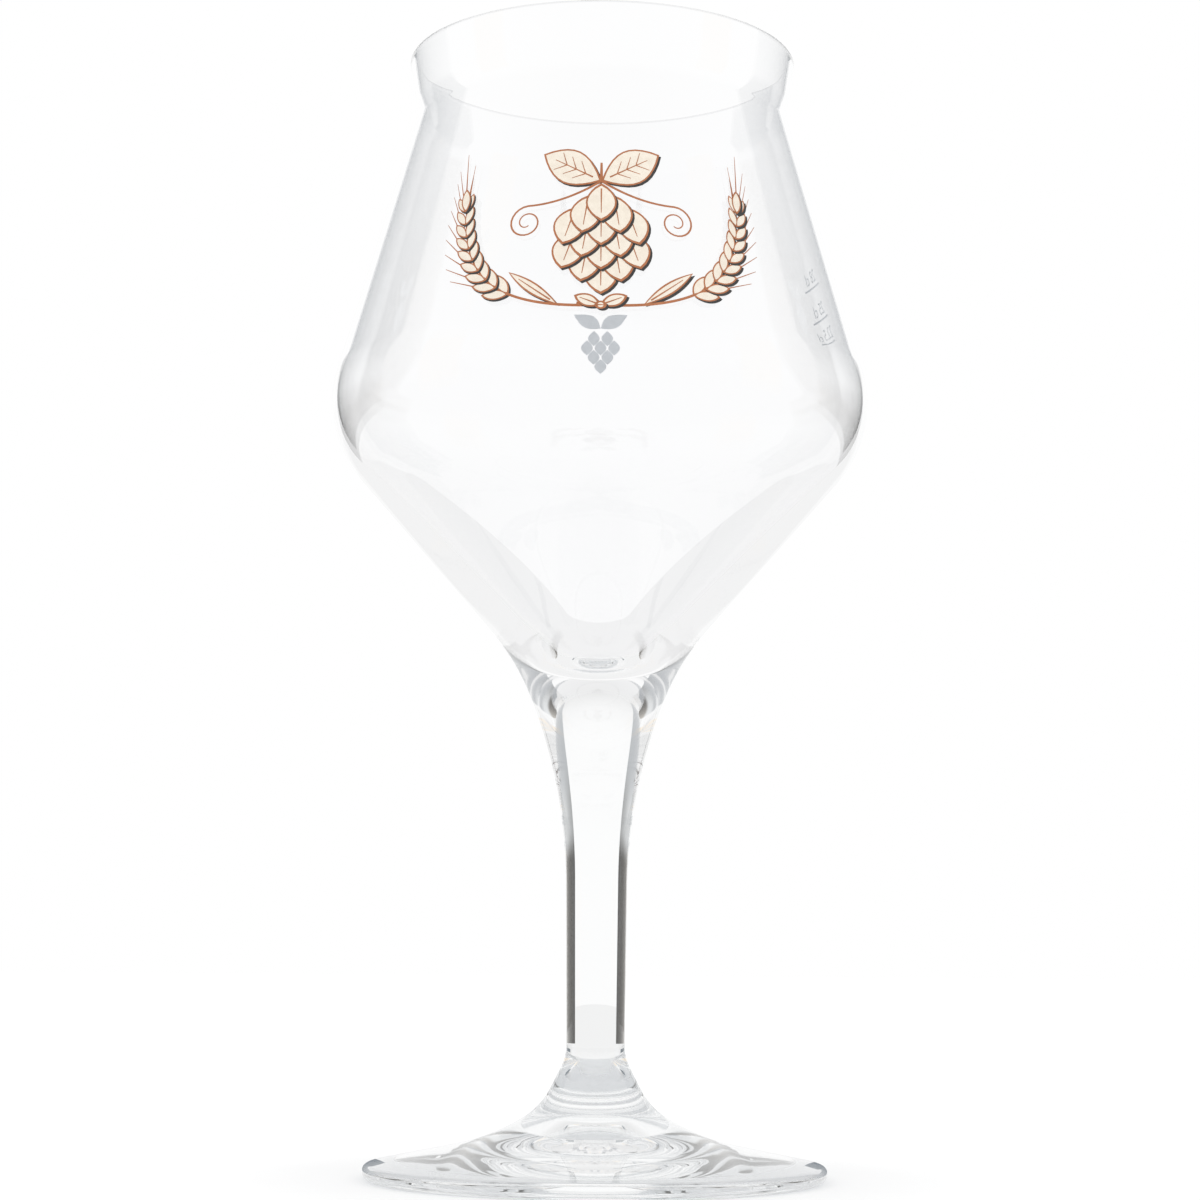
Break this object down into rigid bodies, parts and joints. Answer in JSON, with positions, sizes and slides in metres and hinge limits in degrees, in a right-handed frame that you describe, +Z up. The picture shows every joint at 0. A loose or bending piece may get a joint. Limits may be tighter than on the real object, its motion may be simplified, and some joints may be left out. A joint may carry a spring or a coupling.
{
  "type": "stemmed beer glass",
  "caption": "Clear stemmed beer glass with a flared lip, a bowl of two cones meeting at a wide belly, a slender solid stem and a round foot, for tasting and serving beer.",
  "frame": {"origin": "on the table, at the centre of the ring that the foot stands on", "axes": "+Z up along the glass's axis of revolution; -Y faces the camera of the picture, +X to its right"},
  "size_m": [0.0942, 0.0942, 0.196],
  "materials": {
    "bowl_glass": "clear, thin-walled, fire-polished rim",
    "stem_glass": "clear, solid, smooth drawn surface",
    "foot_glass": "clear, solid, pressed and fire-polished"
  },
  "bodies": {
    "root": {"bowl": "bowl_glass", "stem": "stem_glass", "foot": "foot_glass"}
  },
  "joints": []
}
